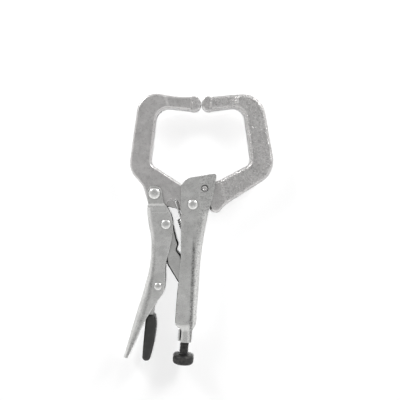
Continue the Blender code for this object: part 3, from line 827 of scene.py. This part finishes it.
LEVER_SPINE = [
    (-1.5, -25.4), (-9.0, -24.7), (-21.0, -22.9), (-32.7, -23.6), (-45.4, -26.6), (-61.4, -31.5),
    (-84.2, -38.1),
]
LEVER_EDGE = [
    (-1.5, -14.1), (-5.7, -11.9), (-13.0, -10.9), (-22.0, -12.2), (-33.0, -14.9), (-44.0, -15.4),
    (-48.3, -16.2), (-55.3, -21.0), (-66.0, -27.4), (-80.0, -33.8), (-84.2, -35.8),
]
LEVER_CREASE = [(10.0, -23.2), (-25.9, -21.4), (-47.5, -23.6), (-64.6, -28.6), (-84.2, -36.4)]


def lever_ring(y):
    taper = smooth(-y, 55, 84.2)
    edge = along(LEVER_EDGE, y)
    spine = along(LEVER_SPINE, y)
    half = LEVER_HALF - 0.9 * taper
    bend = LEVER_BEND - 1.2 * taper
    paths = channel_paths(edge, edge, spine, half, bend, LEVER_SHEET)
    return [(p.x, y, p.y) for p in sheet_section(*paths)]


def spread_by_joggle(depth):
    return depth + math.copysign(JOGGLE, depth)


def lever_handle():
    lever = loft("formed_lever_handle", [lever_ring(-1.5 - 82.7 * i / 110) for i in range(111)])
    round_edges(lever, 0.25, 3, 60)
    settle(lever)
    ear = rounded([
        *arc(JAW_LEVER_PIVOT, EAR_RADIUS, -8, 188, 60), (-24.5, 0.4, 1.0), (-25.0, -1.0), (-24.0, -1.8),
        (-22.2, -1.8), (-22.2, -4.5), (-14.6, -4.5), (-14.0, -1.8), (-14.6, -0.7, 0.8), (-16.2, 1.0, 2.0),
    ])
    inner = LEVER_HALF - LEVER_SHEET - JOGGLE
    for sign in (1, -1):
        low, high = sorted((sign * (inner - FLUSH), sign * (inner + LEVER_SHEET + FLUSH)))
        wall = plate("ear", ear, low, high, [circle(JAW_LEVER_PIVOT, RIVET_SHANK + GAP)], 0.3, 3)
        set_depth(wall, (0.0, 0.9), (0.0, -1.0), 1.9, spread_by_joggle, 11)
        combine(lever, wall, "UNION")
    for place_at in (LINK_PIVOT, RELEASE_PIVOT):
        combine(lever, plate("hole", circle(place_at, SMALL_SHANK + GAP), -7, 7), "DIFFERENCE")
    mark_crease(lever, LEVER_CREASE, -1)
    show(lever, "lever_handle", "lever", PLATED_LEVER, 35, True)


# ---------------------------------------------------------------- rivets and pin

def rivet(node, body, at, shank, head, seat, dome):
    """A rivet with a domed head in front and a flat head behind."""
    profile = [(0.0, seat + dome)]
    for turn in range(5, 91, 5):
        angle = math.radians(turn)
        profile.append((head * math.sin(angle), seat + 0.25 * dome + 0.75 * dome * math.cos(angle)))
    profile += [(head, seat + 0.1), (head - 0.1, seat), (shank, seat), (shank, -seat)]
    profile += [(head - 0.1, -seat), (head, -seat - 0.1)]
    for turn in range(0, 91, 15):
        angle = math.radians(turn)
        profile.append((head - 0.5 + 0.5 * math.cos(angle), 0.5 - MIDDLE - 0.5 * math.sin(angle)))
    profile.append((0.0, -MIDDLE))
    made = turned("domed_" + node, profile)
    place(made, Matrix.Translation(Vector((at[0], at[1], MIDDLE)) * MM))
    show(made, node, body, RIVET, 35)


def fixed_jaw_pin():
    end = half_depth("fixed_jaw_pin")
    profile = [(0.0, end - 0.32), (0.7, end - 0.3), (0.95, end - 0.2), (1.1, end), (1.3, end)]
    profile += [(PIN_RADIUS, end - 0.1), (PIN_RADIUS, 0.1 - end), (1.3, -end), (0.0, -end)]
    made = turned("pressed_fixed_jaw_pin", profile)
    place(made, Matrix.Translation(Vector((*FIXED_JAW_PIN, MIDDLE)) * MM))
    show(made, "fixed_jaw_pin", "body", PLATED_SMOOTH, 35)


# ---------------------------------------------------------------- link and release lever

def toggle_link():
    eye = arc(LINK_PIVOT, 3.7, 20, 190, 40)
    outline = rounded([
        *eye, (-18.2, -20.0, 8.0), (-15.2, -29.0, 6.0), (-14.2, -33.1, 2.0), (-5.6, -47.2, 3.0),
        (-3.9, -49.9, 1.6), (-1.0, -49.3, 1.6), (-1.4, -43.0, 6.0), (-6.4, -28.4, 4.0),
        (-9.0, -25.2, 1.6), (-7.9, -21.8, 0.7), (-8.9, -19.3, 2.0), (-10.1, -14.2, 6.0),
    ])
    link = plate("pressed_toggle_link", outline, -LINK_HALF, LINK_HALF)
    round_edges(link, 1.2, 6, 50, False)
    settle(link)
    reforge(link, LINK_VOXEL, 1)
    bore(link, LINK_PIVOT, SMALL_SHANK + GAP)
    show(link, "toggle_link", "link", PLATED_LINK, 65)


def release_lever():
    outline = rounded([
        *arc(RELEASE_PIVOT, 3.3, 160, 240, 20), (-24.6, -57.0, 8.0), (-25.4, -66.0, 20.0),
        (-27.0, -82.6, 1.2), (-24.4, -82.6, 1.2), (-22.5, -68.0, 20.0), (-21.6, -57.5, 6.0),
        (-16.6, -47.9, 3.0), (-15.6, -44.0, 3.0), (-15.9, -34.2, 1.5), (-19.0, -34.2, 1.5),
    ])
    holes = [circle(RELEASE_PIVOT, SMALL_SHANK + GAP)]
    lever = plate("pressed_release_lever", outline, -RELEASE_HALF, RELEASE_HALF, holes, 0.3, 3)
    show(lever, "release_lever", "release", PLATED_LINK, 35, True)


def release_grip():
    outline = rounded([
        (-20.9, -61.0, 1.9), (-20.1, -67.0, 20.0), (-21.3, -76.0, 30.0), (-24.0, -86.4, 2.1),
        (-28.2, -86.4, 2.1), (-27.3, -75.0, 40.0), (-25.9, -61.0, 1.9),
    ])
    grip = plate("dipped_release_grip", outline, -GRIP_HALF, GRIP_HALF)
    round_edges(grip, 1.7, 8, 50, False)
    settle(grip)
    pocket = rounded([
        (-25.7, -58.0), (-25.7, -66.0, 20.0), (-27.35, -83.1, 1.4), (-24.1, -83.1, 1.4),
        (-22.2, -68.0, 20.0), (-21.3, -58.0),
    ])
    combine(grip, plate("pocket", pocket, -RELEASE_HALF - GAP, RELEASE_HALF + GAP), "DIFFERENCE")
    show(grip, "release_grip", "release", VINYL, 50)


# ---------------------------------------------------------------- adjusting screw

def screw_placement():
    """Placement whose +Z runs down the screw from where the knob turns."""
    across = Vector((0.0, 0.0, 1.0))
    turn = Matrix((across.cross(SCREW_DOWN), across, SCREW_DOWN)).transposed().to_4x4()
    turn.translation = Vector((*KNOB_TOP, MIDDLE)) * MM
    return turn


def thread_radius(height, turn):
    """A rounded V thread, run out softly at the tip."""
    phase = (height / THREAD_PITCH - turn / (2 * math.pi)) % 1.0
    ridge = smooth(1 - abs(2 * phase - 1), 0.08, 0.86)
    root = THREAD_RADIUS - THREAD_DEPTH
    lead = smooth(height, SCREW_TIP, SCREW_TIP + 1.6)
    return (root + THREAD_DEPTH * ridge) * (0.72 + 0.28 * lead)


def adjusting_screw():
    around = 48
    rows = round(-SCREW_TIP / THREAD_PITCH * 10)
    shape = bmesh.new()
    rings = []
    for i in range(rows + 1):
        height = SCREW_TIP * i / rows
        ring = []
        for k in range(around):
            turn = 2 * math.pi * k / around
            radius = thread_radius(height, turn)
            spot = Vector((radius * math.cos(turn), radius * math.sin(turn), height))
            ring.append(shape.verts.new(spot * MM))
        rings.append(ring)
    for ring, ring_next in zip(rings, rings[1:]):
        for k in range(around):
            j = (k + 1) % around
            shape.faces.new((ring[k], ring[j], ring_next[j], ring_next[k]))
    shape.faces.new(rings[0])
    shape.faces.new(rings[-1])
    bmesh.ops.recalc_face_normals(shape, faces=shape.faces)
    mesh = bpy.data.meshes.new("threaded_adjusting_screw")
    shape.to_mesh(mesh)
    shape.free()
    made = place(new_object("threaded_adjusting_screw", mesh), screw_placement())
    show(made, "adjusting_screw", "screw", OXIDE, 50)


def adjusting_knob():
    stop = KNOB_START + KNOB_LENGTH
    rim = KNOB_RADIUS - KNOB_ROUND
    profile = [(0.0, stop)]
    for centre, first in ((stop - KNOB_ROUND, 0), (KNOB_START + KNOB_ROUND, 90)):
        for turn in range(first, first + 91, 6):
            angle = math.radians(turn)
            profile.append((rim + KNOB_ROUND * math.sin(angle), centre + KNOB_ROUND * math.cos(angle)))
    profile.append((0.0, KNOB_START))
    made = turned("rounded_adjusting_knob", profile, 96)
    mouth = SOCKET_RADIUS / math.cos(math.radians(30)) * 0.98
    hexagon = (6, SOCKET_RADIUS, SOCKET_RADIUS, SOCKET_DEPTH)
    chamfer = (48, mouth - 0.5, mouth + 0.3, 0.4)
    for sides, radius_low, radius_high, depth in (hexagon, chamfer):
        shape = bmesh.new()
        bmesh.ops.create_cone(
            shape, cap_ends=True, segments=sides, radius1=radius_low * MM, radius2=radius_high * MM,
            depth=2 * depth * MM, matrix=Matrix.Translation((0.0, 0.0, stop * MM)),
        )
        mesh = bpy.data.meshes.new("socket")
        shape.to_mesh(mesh)
        shape.free()
        combine(made, new_object("socket", mesh), "DIFFERENCE")
    place(made, screw_placement())
    show(made, "adjusting_knob", "knob", OXIDE, 35)


# ---------------------------------------------------------------- return spring

def spring_point(distance, across=0.0, depth=0.0):
    """A point beside the line between the two spring holes."""
    top = Vector(SPRING_HOLE)
    way = (Vector(SPRING_TAB) - top).normalized()
    side = Vector((-way.y, way.x))
    spot = top + way * distance + side * across
    return (spot.x, spot.y, depth)


def jaw_spring():
    """A coil with a long straight hook at each end, which drops through its hole."""
    span = math.dist(SPRING_HOLE, SPRING_TAB)
    route = [spring_point(0, depth=0.3 - HOOK_DEPTH), spring_point(0, depth=HOOK_DEPTH - 0.7)]
    for turn in (30, 60, 90):
        angle = math.radians(turn)
        depth = HOOK_DEPTH - 0.7 + 0.7 * math.sin(angle)
        route.append(spring_point(0.7 * (1 - math.cos(angle)), depth=depth))
    route.append(spring_point(COIL_FROM - 1.5, depth=HOOK_DEPTH))
    steps = 24
    for i in range(COIL_TURNS * steps + 1):
        turn = 2 * math.pi * i / steps
        distance = COIL_FROM + (COIL_TO - COIL_FROM) * i / (COIL_TURNS * steps)
        route.append(spring_point(distance, COIL_RADIUS * math.sin(turn), COIL_RADIUS * math.cos(turn)))
    hook = [(COIL_TO + 1.4, 1.5), (span - 0.6, 1.3), (span - 0.25, 1.25), (span, 1.0), (span, -1.4)]
    route += [spring_point(distance, depth=depth) for distance, depth in hook]
    curve = bpy.data.curves.new("jaw_spring", "CURVE")
    curve.dimensions = "3D"
    curve.bevel_depth = WIRE_RADIUS * MM
    curve.bevel_resolution = 4
    curve.use_fill_caps = True
    spline = curve.splines.new("POLY")
    spline.points.add(len(route) - 1)
    for point, (x, y, z) in zip(spline.points, route):
        point.co = (x * MM, y * MM, z * MM, 1.0)
    coil = show(from_curve("coiled_jaw_spring", curve, MIDDLE), "jaw_spring", None, WIRE, 50)
    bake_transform(coil)


# ---------------------------------------------------------------- studio

VIEW_CENTRE = Vector((3.95, 2.5, MIDDLE)) * MM
VIEW_WIDTH = 222.4 * MM
VIEW_DISTANCE = 0.4


def floor():
    mesh = bpy.data.meshes.new("floor")
    reach = 1.5
    corners = [(-reach, -reach, 0), (reach, -reach, 0), (reach, reach, 0), (-reach, reach, 0)]
    mesh.from_pydata(corners, [], [(0, 1, 2, 3)])
    made = new_object("floor", mesh)
    look = Look("pale_floor", (0.92, 0.92, 0.92), 0.0, 0.7)
    look.set("Base Color", look.mix(look.noise(60.0, 2.0), (0.91, 0.91, 0.91), (0.93, 0.93, 0.93)))
    made.data.materials.append(look.material)


def area_light(name, way, distance, width, height, power):
    """A soft panel at a distance from the tool, facing it."""
    data = bpy.data.lights.new(name, "AREA")
    data.shape = "RECTANGLE"
    data.size = width
    data.size_y = height
    data.energy = power
    made = bpy.data.objects.new(name, data)
    bpy.context.scene.collection.objects.link(made)
    toward = Vector(way).normalized()
    made.location = VIEW_CENTRE + toward * distance
    made.rotation_euler = toward.to_track_quat("Z", "Y").to_euler()
    return made


def world_fade(nodes, links, value, span, result):
    """A soft change of brightness across a part of the sky."""
    fade = nodes.new("ShaderNodeMapRange")
    fade.interpolation_type = "SMOOTHSTEP"
    links.new(value, fade.inputs["Value"])
    fade.inputs["From Min"].default_value, fade.inputs["From Max"].default_value = span
    fade.inputs["To Min"].default_value, fade.inputs["To Max"].default_value = result
    return fade.outputs["Result"]


def studio():
    floor()
    area_light("panel_left", (-0.65, 0.68, 0.36), 1.3, 0.38, 0.38, 6.0)
    area_light("panel_right", (0.65, 0.68, 0.36), 1.3, 0.38, 0.38, 6.0)
    floor_light = area_light("panel_floor", (0.0, 0.0, 1.0), 1.8, 0.2, 0.2, 29.0)
    floor_light.visible_glossy = False
    world = bpy.data.worlds.new("studio")
    bpy.context.scene.world = world
    world.use_nodes = True
    world.cycles_visibility.diffuse = False
    nodes = world.node_tree.nodes
    links = world.node_tree.links
    split = nodes.new("ShaderNodeSeparateXYZ")
    links.new(nodes.new("ShaderNodeTexCoord").outputs["Generated"], split.inputs[0])
    front = world_fade(nodes, links, split.outputs["Y"], (-0.5, -0.02), (0.3, 0.0))
    horizon = world_fade(nodes, links, split.outputs["Z"], (0.45, 0.95), (1.05, 0.6))
    both = nodes.new("ShaderNodeMath")
    links.new(front, both.inputs[0])
    links.new(horizon, both.inputs[1])
    links.new(both.outputs[0], nodes["Background"].inputs["Strength"])
    nodes["Background"].inputs["Color"].default_value = (1.0, 1.0, 1.0, 1.0)
    bpy.context.scene.view_settings.view_transform = "Standard"


def camera():
    data = bpy.data.cameras.new("camera")
    data.sensor_width = 36.0
    data.lens = 36.0 * VIEW_DISTANCE / VIEW_WIDTH
    data.clip_start = 0.01
    made = bpy.data.objects.new("camera", data)
    bpy.context.scene.collection.objects.link(made)
    made.location = VIEW_CENTRE + Vector((0.0, 0.0, VIEW_DISTANCE))
    bpy.context.scene.camera = made


# ---------------------------------------------------------------- the object

camera()
studio()
body_handle()
moving_jaw()
fixed_jaw()
lever_handle()
rivet("main_pivot_rivet", "body", MAIN_PIVOT, RIVET_SHANK, 2.85, BODY_HALF + 0.1, 1.9)
rivet("jaw_lever_rivet", "jaw", JAW_LEVER_PIVOT, RIVET_SHANK, 3.25, LEVER_HALF - JOGGLE + 0.1, 2.1)
rivet("link_rivet", "lever", LINK_PIVOT, SMALL_SHANK, 2.7, LEVER_HALF + 0.1, 1.5)
rivet("release_rivet", "lever", RELEASE_PIVOT, SMALL_SHANK, 2.15, LEVER_HALF + 0.1, 1.2)
fixed_jaw_pin()
toggle_link()
release_lever()
release_grip()
adjusting_screw()
adjusting_knob()
jaw_spring()
